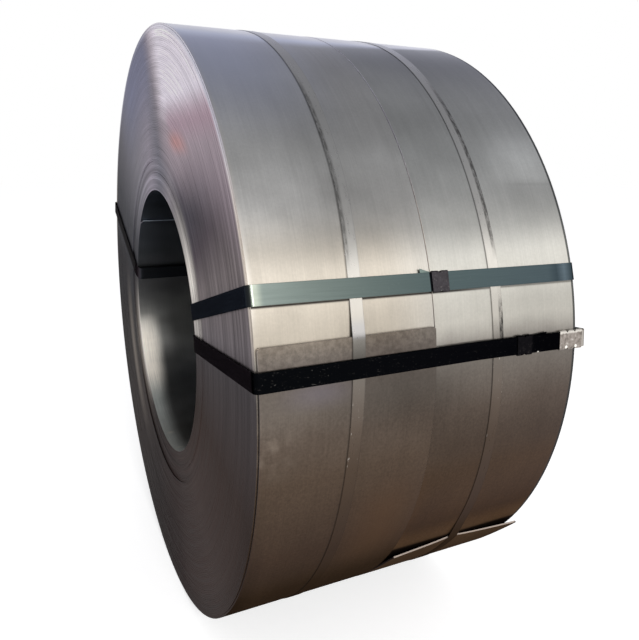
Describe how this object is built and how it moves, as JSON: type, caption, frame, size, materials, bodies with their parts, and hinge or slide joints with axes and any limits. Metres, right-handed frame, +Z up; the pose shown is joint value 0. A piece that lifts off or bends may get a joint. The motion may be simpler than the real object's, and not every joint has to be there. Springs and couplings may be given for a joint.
{
  "type": "steel coil",
  "caption": "Pair of slit steel coils strapped eye to eye, lying with the eye horizontal, banded round the belly and through the bore.",
  "frame": {"origin": "on the floor under the middle of the whole, the centre of its box's base", "axes": "X along the coil axis, from the near end face to the far one; -Y is the front; +Z up"},
  "size_m": [0.5568, 1.0988, 1.0953],
  "materials": {
    "coil_steel": "cold rolled strip steel, oiled, with a fine grain round the coil",
    "bare_strap": "bare steel strapping",
    "green_strap": "dark grey-green painted and waxed steel strapping",
    "black_strap": "black painted steel strapping, scuffed",
    "dark_seal": "black painted steel seal",
    "zinc_seal": "zinc coated steel seal"
  },
  "bodies": {
    "root": {"slit_coil_near": "coil_steel", "slit_coil_far": "coil_steel", "belly_strap_near": "bare_strap", "belly_strap_far": "bare_strap", "eye_strap_upper": "green_strap", "eye_strap_lower": "black_strap", "eye_strap_back": "black_strap", "belly_seal_near": "bare_strap", "belly_seal_far": "bare_strap", "eye_seal_upper": "dark_seal", "eye_seal_inner": "dark_seal", "eye_seal_end": "zinc_seal", "eye_seal_back": "dark_seal"}
  },
  "joints": []
}
